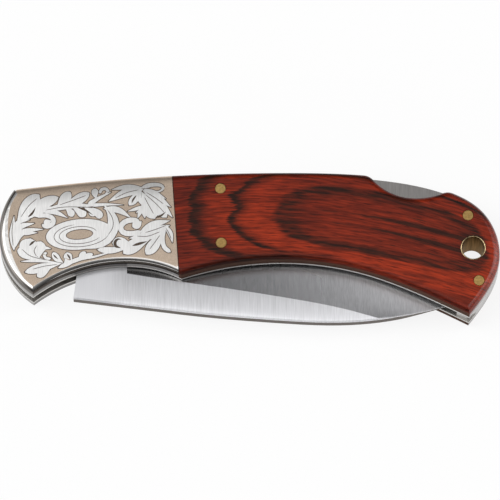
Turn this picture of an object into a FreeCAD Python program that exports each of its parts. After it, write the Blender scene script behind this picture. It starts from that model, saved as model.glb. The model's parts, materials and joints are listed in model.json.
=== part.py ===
import FreeCAD, Part
import math
import os

# A lockback folding knife, closed and lying on its rear side, in millimetres.
# X runs from the bolster end to the butt, Y from the belly to the back, Z upwards.
# Profiles are drawn about the middle of the closed handle, on the plane halfway through
# its thickness. The finished pieces are set down on Z = 0 under their common centre.

# Thickness of each layer, from the blade outwards.
blade_thickness = 2.8
washer_thickness = 0.15
washer_play = 0.05
liner_thickness = 0.7
cover_thickness = 2.9
cover_edge_round = 1.4
bar_side_play = 0.05

# Handle outline: arc of the nose, back and butt, belly of the scales, arch of the bolsters.
nose_top = (-51.9, 12.1)
nose_front = (-55.1, 2.8)
nose_toe = (-47.5, -12.0)
back_points = [(-28.6, 14.55), (8.8, 16.04), (31.2, 14.8), (44.0, 11.6)]
butt_points = [(50.6, 7.6), (54.4, 0.6), (54.6, -4.7), (52.8, -9.6)]
butt_toe = (48.0, -16.6)
belly_points = [(39.6, -12.45), (24.2, -6.45), (8.3, -4.16), (-2.2, -4.8)]
belly_corner = (-15.0, -7.8)
arch_points = [(-21.6, -5.4), (-28.5, -4.88), (-38.9, -7.1)]
joint_top = (-17.2, 15.0)
joint_foot_inset = 0.6

# Thumb scallop over the lock bar: two arcs that meet at its deepest point, given from the back.
scallop_from_back = (5.2, -4.65)
scallop_front_radius = 12.2
scallop_rear_radius = 15.5
scallop_corner_round = 3.0

# Blade profile, folded, given from the pivot: spine from the shoulder to the tip, edge from the
# tip to the heel. The tip lies short of the butt spacer.
shoulder_from_pivot = (4.3, -12.65)
spine_from_pivot = [
    (18.8, -14.43),
    (32.0, -16.05),
    (49.6, -17.55),
    (60.6, -18.05),
    (73.0, -17.15),
    (81.0, -15.45),
]
tip_gap = 2.3
tip_drop = 14.1
edge_from_pivot = [(79.0, -8.55), (71.0, -3.55), (58.0, -0.05), (33.0, 2.05)]
heel_from_pivot = (17.0, 2.15)
ricasso_from_pivot = (13.0, 3.85)
choil_radius = 1.3
spine_chamfer = 0.35

# Hollow grind, given from the pivot: each pair is a point of the grind line and the point of the
# edge across from it.
bevel_from_pivot = [
    ((16.0, -6.85), (16.0, 2.15)),
    ((28.5, -8.85), (30.0, 2.15)),
    ((41.0, -10.75), (45.0, 1.55)),
    ((54.0, -12.95), (60.0, -0.35)),
    ((62.8, -14.75), (71.0, -3.55)),
    ((68.6, -16.35), (79.0, -8.55)),
    ((74.0, -17.75), (86.8, -14.8)),
]
edge_width = 0.3
hollow_depth = 0.12
bevel_overrun = 1.2

# Pivot, tang and lock tooth.
pivot_from_nose = (12.1, -2.25)
pivot_diameter = 4.0
washer_diameter = 11.0
tang_radius = 8.0
open_angle = 172.0
lock_drop_angle = 1.5
tooth_width = 3.2
tooth_height = 1.6
tooth_clearance = 0.12
tooth_toe_gap = 0.8
shoulder_gap = 0.15

# Lock bar, and the pin that it rocks on, given from the top of the joint.
rocker_from_joint = (10.7, -2.9)
bar_neck_run = 3.0
bar_wall = 2.6
bar_front_arm = 7.5
bar_rear_arm = 32.5
bar_rear_height = 4.9

# Lanyard tube, given from the butt, with pins above and below it, and the other pins and rivets.
tube_from_butt = (-5.5, -2.15)
tube_bore = 5.0
tube_wall = 0.3
pin_diameter = 2.45
upper_pin_from_tube = (-1.05, 7.45)
lower_pin_from_tube = (1.2, -7.5)
scale_pin_from_rocker = (0.2, -12.5)
rivet_diameter = 2.0
rivets_from_pivot = [(7.5, 6.95), (20.5, 2.45)]
hidden_end_depth = 0.8
press_clearance = 0.01
running_clearance = 0.03

# Butt spacer, drawn in from the outline at the toe, and the leaf spring set into it.
spacer_wall = 0.75
spacer_gap = 0.45
spacer_front_rise = 1.65
spacer_from_toe = (-0.35, 0.65)
spacer_from_butt = (-0.8, -3.0)
spring_thickness = 0.8
spring_side_play = 0.15
spring_seat_wall = 1.2
spring_root_depth = 2.2
spring_straight = 1.8
spring_tip_inset = 2.0
spring_gap = 0.1

# Levels that the layers give, measured from the middle plane, and radii.
blade_half = blade_thickness / 2
slot_half = blade_half + washer_play + washer_thickness
liner_outer = slot_half + liner_thickness
cover_face = liner_outer + cover_thickness
bar_half = slot_half - bar_side_play
hidden_end = cover_face - hidden_end_depth
pin_radius = pin_diameter / 2
pivot_radius = pivot_diameter / 2
tube_radius = tube_bore / 2 + tube_wall
rivet_radius = rivet_diameter / 2

# Tools are longer than the whole knife, so that they cut right through it.
reach = 200.0
Z = FreeCAD.Vector(0, 0, 1)


def vector(point, z=0.0):
    return FreeCAD.Vector(point[0], point[1], z)


def line(start, end):
    return Part.LineSegment(vector(start), vector(end)).toShape()


def arc(start, middle, end):
    return Part.Arc(vector(start), vector(middle), vector(end)).toShape()


def curve(points):
    spline = Part.BSplineCurve()
    spline.interpolate([vector(point) for point in points])
    return spline.toShape()


def polyline(points):
    return [line(start, end) for start, end in zip(points, points[1:])]


def polygon(points):
    return polyline(points + points[:1])


def plate(edges, low, high):
    solid = Part.Face(Part.Wire(edges)).extrude(Z * (high - low))
    solid.translate(Z * low)
    return solid


def rod(centre, radius, low, high):
    return Part.makeCylinder(radius, high - low, vector(centre, low))


def mirrored(solid):
    return solid.mirror(FreeCAD.Vector(0, 0, 0), Z)


def heading(start, end):
    return math.degrees(math.atan2(end[1] - start[1], end[0] - start[0]))


def moved(point, angle, distance):
    turn = math.radians(angle)
    return (point[0] + distance * math.cos(turn), point[1] + distance * math.sin(turn))


def turned(point, centre, angle):
    distance = math.hypot(point[0] - centre[0], point[1] - centre[1])
    return moved(centre, heading(centre, point) + angle, distance)


def crossing(first, first_angle, second, second_angle):
    # Where two lines meet, each given by a point and a direction in degrees.
    between = heading(first, second)
    distance = math.hypot(second[0] - first[0], second[1] - first[1])
    opposite = math.sin(math.radians(second_angle - between))
    apex = math.sin(math.radians(second_angle - first_angle))
    return moved(first, first_angle, distance * opposite / apex)


def round_entry(start, angle, radius):
    # Where a line from outside first meets a circle about the pivot.
    lean = math.radians(heading(start, pivot) - angle)
    distance = math.hypot(start[0] - pivot[0], start[1] - pivot[1])
    half_chord = math.sqrt(radius ** 2 - (distance * math.sin(lean)) ** 2)
    return moved(start, angle, distance * math.cos(lean) - half_chord)


def tang_tangent(outside):
    # Where a line from outside touches the tang's round, on the side of the back.
    distance = math.hypot(outside[0] - pivot[0], outside[1] - pivot[1])
    spread = math.degrees(math.acos(tang_radius / distance))
    return moved(pivot, heading(pivot, outside) + spread, tang_radius)


def beside(point, offset):
    return (point[0] + offset[0], point[1] + offset[1])


# Places of the pins, the scallop and the butt spacer.
pivot = beside(nose_front, pivot_from_nose)
rocker = beside(joint_top, rocker_from_joint)
scale_pin = beside(rocker, scale_pin_from_rocker)
tube_centre = beside(butt_points[1], tube_from_butt)
upper_butt_pin = beside(tube_centre, upper_pin_from_tube)
lower_butt_pin = beside(tube_centre, lower_pin_from_tube)
rivet_centres = [beside(pivot, offset) for offset in rivets_from_pivot]
scallop_bottom = beside(back_points[2], scallop_from_back)
spacer_front = tube_centre[0] - tube_radius - spacer_wall
spacer_lower_front = butt_toe[1] + spacer_front_rise
spacer_toe = beside(butt_toe, spacer_from_toe)
spacer_lower_rear = beside(butt_points[-1], spacer_from_butt)

# Points of the folded blade.
shoulder = beside(pivot, shoulder_from_pivot)
spine_points = [beside(pivot, offset) for offset in spine_from_pivot]
tip = (spacer_front - tip_gap, pivot[1] - tip_drop)
edge_points = [beside(pivot, offset) for offset in edge_from_pivot]
heel = beside(pivot, heel_from_pivot)
ricasso_top = beside(pivot, ricasso_from_pivot)

# The lock is worked out with the blade open, when its shoulder stands in front of the tooth.
spine_heading = heading(shoulder, spine_points[0])
behind_shoulder = moved(shoulder, spine_heading + 180.0, tooth_width / 2)
open_shoulder = turned(shoulder, pivot, -open_angle)
open_wall_heading = spine_heading + 90.0 - open_angle

# The tooth's foot is square to a spoke of the tang, and rides just clear of its round.
ride_radius = tang_radius + tooth_clearance
wall_foot = round_entry(open_shoulder, open_wall_heading, ride_radius)
tooth_spread = math.degrees((tooth_width / 2 + tooth_toe_gap) / ride_radius)
tooth_spoke = heading(pivot, wall_foot) - tooth_spread
tooth_foot = moved(pivot, tooth_spoke, ride_radius)
tooth_toe = moved(tooth_foot, tooth_spoke + 90.0, tooth_width / 2)
tooth_heel = moved(tooth_foot, tooth_spoke - 90.0, tooth_width / 2)
tooth_front = (open_shoulder[0] + shoulder_gap, open_shoulder[1])
heel_heading = heading(pivot, tooth_heel)
toe_arm = math.hypot(tooth_toe[0] - rocker[0], tooth_toe[1] - rocker[1])
seat_distance = tang_radius - toe_arm * math.sin(math.radians(lock_drop_angle)) - tooth_clearance

# Places along the lock bar and the spring.
bar_neck = (pivot[0] + bar_neck_run, pivot[1] + ride_radius + tooth_height)
bar_underside = rocker[1] - pin_radius - bar_wall
bar_boss_front = rocker[0] - bar_front_arm
bar_boss_rear = rocker[0] + bar_rear_arm
bar_rear = spacer_front - spacer_gap
bar_rear_bottom = (bar_rear, back_points[-1][1] - bar_rear_height)
spring_level = tube_centre[1] + tube_radius + spring_seat_wall + spring_thickness / 2
spring_root = spacer_front + spring_root_depth


def handle_outline():
    nose = arc(nose_toe, nose_front, nose_top)
    back = curve([nose_top] + back_points + butt_points + [butt_toe])
    belly = curve([butt_toe] + belly_points + [belly_corner])
    arch = curve([belly_corner] + arch_points + [nose_toe])
    return [nose, back, belly, arch]


def scallop(low, high):
    # Space above the two arcs of the thumb scallop.
    front_centre = (scallop_bottom[0], scallop_bottom[1] + scallop_front_radius)
    rear_centre = (scallop_bottom[0], scallop_bottom[1] + scallop_rear_radius)
    front_end = moved(front_centre, 180.0, scallop_front_radius)
    rear_end = moved(rear_centre, 0.0, scallop_rear_radius)
    front_arc = arc(front_end, moved(front_centre, 225.0, scallop_front_radius), scallop_bottom)
    rear_arc = arc(scallop_bottom, moved(rear_centre, 315.0, scallop_rear_radius), rear_end)
    lid = polyline([rear_end, (rear_end[0], reach), (front_end[0], reach), front_end])
    return plate([front_arc, rear_arc] + lid, low, high)


def bolster_region(low, high):
    # Everything on the bolster's side of the slanted joint with the scale.
    joint_foot = (belly_corner[0] - joint_foot_inset, belly_corner[1])
    slant = heading(joint_foot, joint_top)
    upper = moved(joint_top, slant, reach)
    lower = moved(joint_foot, slant + 180.0, reach)
    return plate(polygon([upper, (-reach, upper[1]), (-reach, lower[1]), lower]), low, high)


def handle_pin_holes(low, high):
    holes = [rod(tube_centre, tube_radius + press_clearance, low, high)]
    for centre in (rocker, scale_pin, upper_butt_pin, lower_butt_pin):
        holes.append(rod(centre, pin_radius + press_clearance, low, high))
    return holes


def bolster_pin_holes(low, high):
    holes = [rod(pivot, pivot_radius + press_clearance, low, high)]
    for centre in rivet_centres:
        holes.append(rod(centre, rivet_radius + press_clearance, low, high))
    return holes


def side_plate(low, high):
    # Whole side of the handle, with the two corners of the thumb scallop rounded.
    blank = plate(handle_outline(), low, high).cut(scallop(low, high))
    corners = []
    for edge in blank.Edges:
        foot = edge.Vertexes[0].Point
        head = edge.Vertexes[-1].Point
        upright = math.hypot(foot.x - head.x, foot.y - head.y) < press_clearance
        along = foot.x - scallop_bottom[0]
        in_scallop = -scallop_front_radius < along < scallop_rear_radius
        if upright and in_scallop and foot.y > scallop_bottom[1] + press_clearance:
            corners.append(edge)
    return blank.makeFillet(scallop_corner_round, corners)


def cover():
    # Bolster and scale as one plate, with its outer edge rounded over.
    blank = side_plate(liner_outer, cover_face)
    rim = [edge for edge in blank.Edges if min(v.Z for v in edge.Vertexes) > cover_face - press_clearance]
    return blank.makeFillet(min(cover_edge_round, 0.8 * cover_thickness, 0.8 * scallop_corner_round), rim)


def liner():
    holes = handle_pin_holes(slot_half, liner_outer) + bolster_pin_holes(slot_half, liner_outer)
    return side_plate(slot_half, liner_outer).cut(holes)


def bolster():
    solid = cover().common(bolster_region(liner_outer, cover_face))
    return solid.cut(bolster_pin_holes(liner_outer, hidden_end))


def scale():
    solid = cover().cut(bolster_region(liner_outer, cover_face))
    return solid.cut(handle_pin_holes(liner_outer, cover_face))


def spine_blank():
    # Everything on the handle's side of the spine, with both edges of the spine chamfered.
    beyond = moved(tip, heading(spine_points[-1], tip), tang_radius)
    spine = curve([behind_shoulder, shoulder] + spine_points + [tip, beyond])
    sides = polyline([beyond, (beyond[0], reach), (behind_shoulder[0], reach), behind_shoulder])
    blank = plate([spine] + sides, -blade_half, blade_half)
    spine_edges = [edge for edge in blank.Edges if abs(edge.Length - spine.Length) < press_clearance]
    return blank.makeChamfer(spine_chamfer, spine_edges)


def edge_blank():
    # Everything on the spine's side of the cutting edge and the ricasso, back to the shoulder's wall.
    beyond = moved(tip, heading(edge_points[0], tip), tang_radius)
    edge = curve([beyond, tip] + edge_points + [heel])
    wall_top = crossing(shoulder, spine_heading + 90.0, pivot, spine_heading)
    wall_end = moved(shoulder, spine_heading - 90.0, reach)
    rear = [heel, ricasso_top, tang_tangent(ricasso_top), pivot, wall_top, wall_end]
    below = [(beyond[0], wall_end[1]), beyond]
    return plate([edge] + polyline(rear + below), -blade_half, blade_half)


def lock_notch():
    # Notch that takes the tooth, drawn with the blade open and folded with it.
    floor = moved(pivot, tooth_spoke, seat_distance)
    rear_heading = heel_heading - math.degrees(tooth_clearance / tang_radius)
    corners = [
        crossing(open_shoulder, open_wall_heading, floor, tooth_spoke + 90.0),
        crossing(pivot, rear_heading, floor, tooth_spoke + 90.0),
        moved(pivot, rear_heading, 2 * tang_radius),
        moved(open_shoulder, open_wall_heading + 180.0, tang_radius),
    ]
    folded = [turned(corner, pivot, open_angle) for corner in corners]
    return plate(polygon(folded), -blade_half, blade_half)


def closed_flat():
    # Flat on the tang that leaves room for the tooth when the blade is folded.
    middle = moved(pivot, tooth_spoke, seat_distance)
    half_chord = math.sqrt(tang_radius ** 2 - seat_distance ** 2) + tooth_clearance
    front = moved(middle, tooth_spoke + 90.0, half_chord)
    rear = moved(middle, tooth_spoke - 90.0, half_chord)
    outer_front = moved(front, tooth_spoke, tang_radius)
    outer_rear = moved(rear, tooth_spoke, tang_radius)
    return plate(polygon([front, rear, outer_rear, outer_front]), -blade_half, blade_half)


def bevel():
    # Steel ground away above the blade's upper bevel, from the grind line past the edge.
    sections = []
    for grind_offset, edge_offset in bevel_from_pivot:
        grind = beside(pivot, grind_offset)
        edge = beside(pivot, edge_offset)
        outer_x = grind[0] + (edge[0] - grind[0]) * bevel_overrun
        outer_y = grind[1] + (edge[1] - grind[1]) * bevel_overrun
        outer_z = blade_half + (edge_width / 2 - blade_half) * bevel_overrun
        inner = vector(grind, blade_half)
        outer = FreeCAD.Vector(outer_x, outer_y, outer_z)
        hollow = (inner + outer) / 2 - Z * hollow_depth
        ceiling = [outer, vector((outer_x, outer_y), blade_thickness), vector(grind, blade_thickness), inner]
        ground_face = Part.Arc(inner, hollow, outer).toShape()
        sections.append(Part.Wire([ground_face, *Part.makePolygon(ceiling).Edges]))
    return Part.makeLoft(sections, True, False)


def blade():
    tang = rod(pivot, tang_radius, -blade_half, blade_half)
    blank = spine_blank().common(edge_blank()).fuse(tang).removeSplitter()
    choil = rod(heel, choil_radius, -blade_half, blade_half)
    bore = rod(pivot, pivot_radius + running_clearance, -blade_half, blade_half)
    return blank.cut([lock_notch(), closed_flat(), bevel(), mirrored(bevel()), choil, bore])


def lock_bar():
    # Its top is the back of the handle, so it lies flush when the knife is closed.
    corners = [
        moved(tooth_toe, heading(tooth_toe, tooth_front), reach),
        tooth_toe,
        tooth_heel,
        moved(tooth_heel, heel_heading, tooth_height),
        bar_neck,
        (bar_boss_front, bar_underside),
        (bar_boss_rear, bar_underside),
        bar_rear_bottom,
        (bar_rear, reach),
    ]
    blank = plate(polygon(corners), -bar_half, bar_half)
    blank = blank.common(plate(handle_outline(), -bar_half, bar_half))
    return blank.cut(rod(rocker, pin_radius + running_clearance, -bar_half, bar_half))


def butt_spacer():
    corners = [
        (spacer_front, reach),
        (spacer_front, spacer_lower_front),
        spacer_toe,
        spacer_lower_rear,
        (reach, spacer_lower_rear[1]),
        (reach, reach),
    ]
    blank = plate(polygon(corners), -slot_half, slot_half)
    blank = blank.common(plate(handle_outline(), -slot_half, slot_half))
    low = spring_level - spring_thickness / 2 - press_clearance
    high = spring_level + spring_thickness / 2 + press_clearance
    end = spring_root + press_clearance
    seat_corners = [(bar_rear, low), (end, low), (end, high), (bar_rear, high)]
    spring_seat = plate(polygon(seat_corners), -slot_half, slot_half)
    return blank.cut([spring_seat] + handle_pin_holes(-slot_half, slot_half))


def lock_spring():
    # Leaf that runs out of its seat in the spacer and bends up to the lock bar's underside.
    half = spring_thickness / 2
    bend = spacer_front - spring_straight
    run = bend - (bar_boss_rear - spring_tip_inset)
    rise = bar_underside - spring_gap - half - spring_level
    radius = (run ** 2 + rise ** 2) / (2 * rise)
    centre = (bend, spring_level + radius)
    sweep = math.degrees(math.asin(run / radius))
    low_root = (spring_root, spring_level - half)
    high_root = (spring_root, spring_level + half)
    low_arc = [moved(centre, -90.0 - part * sweep, radius + half) for part in (0.0, 0.5, 1.0)]
    high_arc = [moved(centre, -90.0 - part * sweep, radius - half) for part in (0.0, 0.5, 1.0)]
    edges = [
        line(low_root, high_root),
        line(high_root, high_arc[0]),
        arc(*high_arc),
        line(high_arc[2], low_arc[2]),
        arc(*reversed(low_arc)),
        line(low_arc[0], low_root),
    ]
    side = slot_half - spring_side_play
    return plate(edges, -side, side)


def pivot_washer():
    inner_face = slot_half - washer_thickness
    ring = rod(pivot, washer_diameter / 2, inner_face, slot_half)
    return ring.cut(rod(pivot, pivot_radius + press_clearance, inner_face, slot_half))


def bolster_rivets():
    return Part.makeCompound([rod(centre, rivet_radius, slot_half, hidden_end) for centre in rivet_centres])


def lanyard_tube():
    outside = rod(tube_centre, tube_radius, -cover_face, cover_face)
    return outside.cut(rod(tube_centre, tube_bore / 2, -cover_face, cover_face))


def through_pin(centre):
    return rod(centre, pin_radius, -cover_face, cover_face)


pieces = {
    "blade": blade(),
    "lock_bar": lock_bar(),
    "lock_spring": lock_spring(),
    "butt_spacer": butt_spacer(),
    "lanyard_tube": lanyard_tube(),
    "pivot_pin": rod(pivot, pivot_radius, -hidden_end, hidden_end),
    "rocker_pin": through_pin(rocker),
    "upper_butt_pin": through_pin(upper_butt_pin),
    "lower_butt_pin": through_pin(lower_butt_pin),
}

# Pieces of the front side, and the same pieces mirrored for the rear side.
side_pieces = {
    "pivot_washer": pivot_washer(),
    "liner": liner(),
    "bolster": bolster(),
    "bolster_rivets": bolster_rivets(),
    "scale": scale(),
    "scale_pin": rod(scale_pin, pin_radius, slot_half, cover_face),
}
for name, solid in side_pieces.items():
    pieces["front_" + name] = solid
    pieces["rear_" + name] = mirrored(solid)

# The knife lies on its rear side, with the middle of its box over the origin.
box = Part.makeCompound(list(pieces.values())).optimalBoundingBox(False)
set_down = FreeCAD.Vector(-(box.XMin + box.XMax) / 2, -(box.YMin + box.YMax) / 2, cover_face)
os.makedirs("parts", exist_ok=True)
for name, solid in pieces.items():
    solid.translate(set_down)
    solid.exportStep("parts/" + name + ".step")
    print(name, "valid" if solid.isValid() else "NOT VALID", len(solid.Solids), round(solid.Volume, 2))
print("size", round(box.XLength, 3), round(box.YLength, 3), round(box.ZLength, 3))
for name, centre in (("pivot", pivot), ("rocker", rocker), ("lanyard tube", tube_centre)):
    print(name, vector(centre) + set_down)
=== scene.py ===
import json
import math

import bpy
from mathutils import Matrix, Vector, geometry


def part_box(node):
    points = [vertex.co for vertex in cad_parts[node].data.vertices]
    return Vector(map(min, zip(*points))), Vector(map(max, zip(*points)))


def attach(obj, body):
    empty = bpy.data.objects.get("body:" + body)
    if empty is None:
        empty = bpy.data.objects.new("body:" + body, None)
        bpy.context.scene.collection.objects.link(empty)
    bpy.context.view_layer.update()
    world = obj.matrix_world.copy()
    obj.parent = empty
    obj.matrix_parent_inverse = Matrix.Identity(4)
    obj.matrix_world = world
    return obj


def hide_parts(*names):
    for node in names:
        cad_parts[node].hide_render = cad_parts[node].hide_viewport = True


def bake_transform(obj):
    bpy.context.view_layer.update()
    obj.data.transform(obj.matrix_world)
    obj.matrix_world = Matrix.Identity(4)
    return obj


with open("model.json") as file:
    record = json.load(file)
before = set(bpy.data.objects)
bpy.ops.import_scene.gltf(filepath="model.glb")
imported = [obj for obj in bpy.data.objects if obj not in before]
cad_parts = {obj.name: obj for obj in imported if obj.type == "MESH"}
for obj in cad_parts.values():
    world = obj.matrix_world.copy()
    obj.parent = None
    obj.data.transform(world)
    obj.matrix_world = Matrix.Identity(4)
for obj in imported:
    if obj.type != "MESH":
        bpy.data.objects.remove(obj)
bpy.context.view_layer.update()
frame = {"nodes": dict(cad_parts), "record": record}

# Liners: two steel plates that the whole knife is riveted to, blanked to the handle's outline.
# Their rims are belt-ground with the covers on, and show as a bright line round the handle.
nodes = frame["nodes"]
MM = 0.001


def linear(colour):
    """An sRGB hex colour as the linear RGBA that a shader socket takes."""
    parts = [int(colour[i:i + 2], 16) / 255 for i in (1, 3, 5)]
    return tuple(c / 12.92 if c <= 0.04045 else ((c + 0.055) / 1.055) ** 2.4 for c in parts) + (1.0,)


def feed(tree, node, inputs):
    """Sets or links a node's inputs, given by name or in the order of the sockets in use."""
    if isinstance(inputs, dict):
        pairs = [(node.inputs[name], value) for name, value in inputs.items()]
    else:
        pairs = zip([socket for socket in node.inputs if socket.enabled], inputs)
    for socket, value in pairs:
        if isinstance(value, bpy.types.NodeSocket):
            tree.links.new(value, socket)
        else:
            socket.default_value = value


def add(tree, kind, inputs=(), **settings):
    """Adds a node with its settings and inputs, and gives its first output in use."""
    made = tree.nodes.new(kind if "Node" in kind else "ShaderNode" + kind)
    for name, value in settings.items():
        setattr(made, name, value)
    feed(tree, made, inputs)
    return next((socket for socket in made.outputs if socket.enabled), None)


def new_material(name):
    """An empty material with its node tree and its surface shader."""
    material = bpy.data.materials.new(name)
    material.use_nodes = True
    return material, material.node_tree, material.node_tree.nodes["Principled BSDF"]


def faded(tree, value, *spans):
    """A value times a share for each span: what it follows, where it starts and ends, and both shares."""
    for span in spans:
        share = add(tree, "MapRange", span)
        value = add(tree, "Math", (value, share), operation="MULTIPLY")
    return value


# Noise hardly leaves this span.
noise_span = 0.3, 0.7
line_depth = 0.01 * MM


def brushed_metal(name, colour, roughness, grain, across_mm, along_mm, depth=0.25, tone=0.12, shade_fades=()):
    """Metal ground one way: hairlines along the grain axis, across_mm wide and about along_mm long.

    Real hairlines are finer, and would not show. Each fade is painted shade: a direction, the
    millimetres along it where it starts and ends, and its last share.
    """
    material, tree, shader = new_material(name)
    place = add(tree, "TexCoord").node.outputs["Object"]
    stretch = [1 / (across_mm * MM)] * 3
    stretch["xyz".index(grain)] = 1 / (along_mm * MM)
    drawn = add(tree, "VectorMath", (place, stretch), operation="MULTIPLY")
    hair = add(tree, "TexNoise", {"Vector": drawn, "Scale": 1.0, "Detail": 3.0, "Roughness": 0.6})
    cloud_size = 5.0 * MM
    cloud = add(tree, "TexNoise", {"Vector": place, "Scale": 1 / cloud_size, "Detail": 2.0})
    lines = add(tree, "MapRange", (hair, *noise_span, 1.0 - tone, 1.0))
    shade = faded(tree, lines, (cloud, *noise_span, 1.0 - tone / 2, 1.0))
    # Each fade darkens the metal as painted shade.
    for way, start, end, least in shade_fades:
        reach = add(tree, "VectorMath", (place, way), operation="DOT_PRODUCT")
        shade = faded(tree, shade, (reach, start * MM, end * MM, 1.0, least))
    tint = add(tree, "VectorMath", (linear(colour)[:3], shade), operation="SCALE")
    uneven = 0.05
    rough = add(tree, "MapRange", (cloud, *noise_span, roughness - uneven, roughness + uneven))
    bump = add(tree, "Bump", {"Height": hair, "Strength": depth, "Distance": line_depth})
    feed(tree, shader, {"Metallic": 1.0, "Base Color": tint, "Roughness": rough, "Normal": bump})
    return material


def dress(material, *names):
    """Gives CAD nodes their finish."""
    for name in names:
        nodes[name].data.materials.clear()
        nodes[name].data.materials.append(material)


liner_steel = brushed_metal("belt_ground_steel", "#C8C5C0", 0.3, "x", 0.25, 6.0)
dress(liner_steel, "front_liner", "rear_liner")

# Bolster rivets and pivot pin: centreless ground steel rod, cut to length and hidden under the
# bolsters. The rivets hold each bolster to its liner, and the pin carries the blade. The rod is
# bright, with fine lines along it.
rod_steel = brushed_metal("ground_steel_rod", "#BFC0C2", 0.25, "z", 0.2, 3.0)
dress(rod_steel, "pivot_pin", "front_bolster_rivets", "rear_bolster_rivets")

# Pivot washers: thin rings punched from rolled brass sheet, one on each side of the tang. They keep
# the tang off the liners, and give a dull yellow deep in the slot.
washer_brass = brushed_metal("rolled_brass_sheet", "#B99A57", 0.3, "x", 0.25, 4.0)
dress(washer_brass, "front_pivot_washer", "rear_pivot_washer")

# Bolsters: cast nickel silver caps round the pivot, riveted to the liners. Their faces and the top
# rounding are etched to a matte, warm ground, and the nose and the belly arch are polished.
bolster_low, bolster_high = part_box("front_bolster")
# The polish ends at a flat arc, so that it is widest at the middle of the nose.
polish_radius = 21.0 * MM
polish_centre = bolster_low.xy + Vector((23.0, 15.3)) * MM
# Square to the back, which leans a little along the bolster.
towards_back = (-0.093, 1.0, 0.0)
# How level a face is, as the upright part of its normal, where the polish starts and where it is full.
nose_polish = 0.999, 0.9965
arch_polish = 0.992, 0.982
# The same where painted shade on the polished rim starts, and where it is darkest.
nose_rim_shade = 0.96, 0.9
arch_rim_shade = 0.88, 0.6
steep_side = 0.35
# Real etching is finer, and would not show.
etch_grit = 0.22 * MM
etch_cloud = 4.0 * MM
etch_depth = 0.012 * MM
etch_rough = 0.52


def surface(tree):
    """Where a point of a piece is, and how far its surface faces along X, Y and Z there."""
    given = add(tree, "TexCoord").node.outputs
    return given["Object"], add(tree, "SeparateXYZ", (given["Normal"],)).node.outputs


def etched_bolster():
    """Matte beige where the acid went, with painted shading, and a bright rim in painted shade where it
    turns under.
    """
    material, tree, shader = new_material("etched_nickel_silver")
    place, facing = surface(tree)
    up = add(tree, "Math", (facing["Z"],), operation="ABSOLUTE")
    up_squared = add(tree, "Math", (up, 2.0), operation="POWER")
    slope_squared = add(tree, "Math", (1.0, up_squared), operation="SUBTRACT")
    slope = add(tree, "Math", (slope_squared,), operation="SQRT")
    # The rim runs round all but the back, and its arch is where it faces the belly and not the nose.
    back_limit = add(tree, "Math", (slope, 0.75), operation="MULTIPLY")
    away = add(tree, "Math", (facing["Y"], back_limit), operation="LESS_THAN")
    off_nose = add(tree, "Math", (facing["X"], -0.5, facing["Y"]), operation="MULTIPLY_ADD")
    arch_limit = add(tree, "Math", (slope, -0.6), operation="MULTIPLY")
    arch = add(tree, "Math", (off_nose, arch_limit), operation="LESS_THAN")
    nose_edge = add(tree, "MapRange", (up, *nose_polish))
    arch_edge = add(tree, "MapRange", (up, *arch_polish))
    rounding = add(tree, "Mix", (arch, nose_edge, arch_edge))
    rim = add(tree, "Math", (away, rounding), operation="MULTIPLY")
    side = add(tree, "Math", (up, steep_side), operation="LESS_THAN")
    from_middle = add(tree, "VectorMath", (place, polish_centre.to_3d()), operation="SUBTRACT")
    level = add(tree, "VectorMath", (from_middle, (1.0, 1.0, 0.0)), operation="MULTIPLY")
    out = add(tree, "VectorMath", (level,), operation="LENGTH")
    outside = add(tree, "Math", (out, polish_radius), operation="GREATER_THAN")
    run = add(tree, "SeparateXYZ", (from_middle,)).node.outputs["X"]
    nose_side = add(tree, "Math", (run, 0.0), operation="LESS_THAN")
    nose_band = add(tree, "Math", (outside, nose_side), operation="MULTIPLY")
    edges = add(tree, "Math", (rim, side), operation="MAXIMUM")
    polished = add(tree, "Math", (edges, nose_band), operation="MAXIMUM")
    sand = add(tree, "TexNoise", {"Vector": place, "Scale": 1 / etch_grit, "Detail": 2.0})
    cloud = add(tree, "TexNoise", {"Vector": place, "Scale": 1 / etch_cloud, "Detail": 2.0})
    reach = add(tree, "VectorMath", (place, towards_back), operation="DOT_PRODUCT")
    # The ground has grit and clouds, and painted shade darkens it towards the back and most at the back's
    # edge, while painted light brightens the rounding that faces the back.
    grit_and_painted_shading = faded(
        tree, 1.0, (sand, *noise_span, 0.82, 1.06), (cloud, *noise_span, 0.94, 1.04),
        (reach, -5.0 * MM, 15.0 * MM, 1.14, 1.0), (reach, 15.4 * MM, 16.4 * MM, 1.0, 0.72),
        (facing["Y"], 0.05, 0.75, 1.0, 2.2),
    )
    ground = add(tree, "VectorMath", (linear("#BBAA99")[:3], grit_and_painted_shading), operation="SCALE")
    # Painted shade: the polished rim's colour darkens where it turns under, and the arch's rim is a
    # darker copy of the nose's.
    nose_turned = add(tree, "MapRange", (up, *nose_rim_shade))
    arch_turned = add(tree, "MapRange", (up, *arch_rim_shade))
    turned = add(tree, "Mix", (arch, nose_turned, arch_turned))
    under = add(tree, "Math", (turned, away), operation="MULTIPLY")
    bright = add(tree, "Mix", (arch, linear("#E6E5E3"), linear("#D2D0CE")), data_type="RGBA")
    shaded_rim_tone = add(tree, "Mix", (arch, linear("#76726E"), linear("#4A443F")), data_type="RGBA")
    rim_tone = add(tree, "Mix", (under, bright, shaded_rim_tone), data_type="RGBA")
    tint = add(tree, "Mix", (polished, ground, rim_tone), data_type="RGBA")
    buffed = add(tree, "MapRange", (cloud, *noise_span, 0.1, 0.18))
    rough = add(tree, "Mix", (polished, etch_rough, buffed))
    pits = add(tree, "Math", (1.0, polished), operation="SUBTRACT")
    bump = add(tree, "Bump", {"Height": sand, "Strength": pits, "Distance": etch_depth})
    feed(tree, shader, {"Metallic": 1.0, "Base Color": tint, "Roughness": rough, "Normal": bump})
    return material


dress(etched_bolster(), "front_bolster", "rear_bolster")

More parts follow.
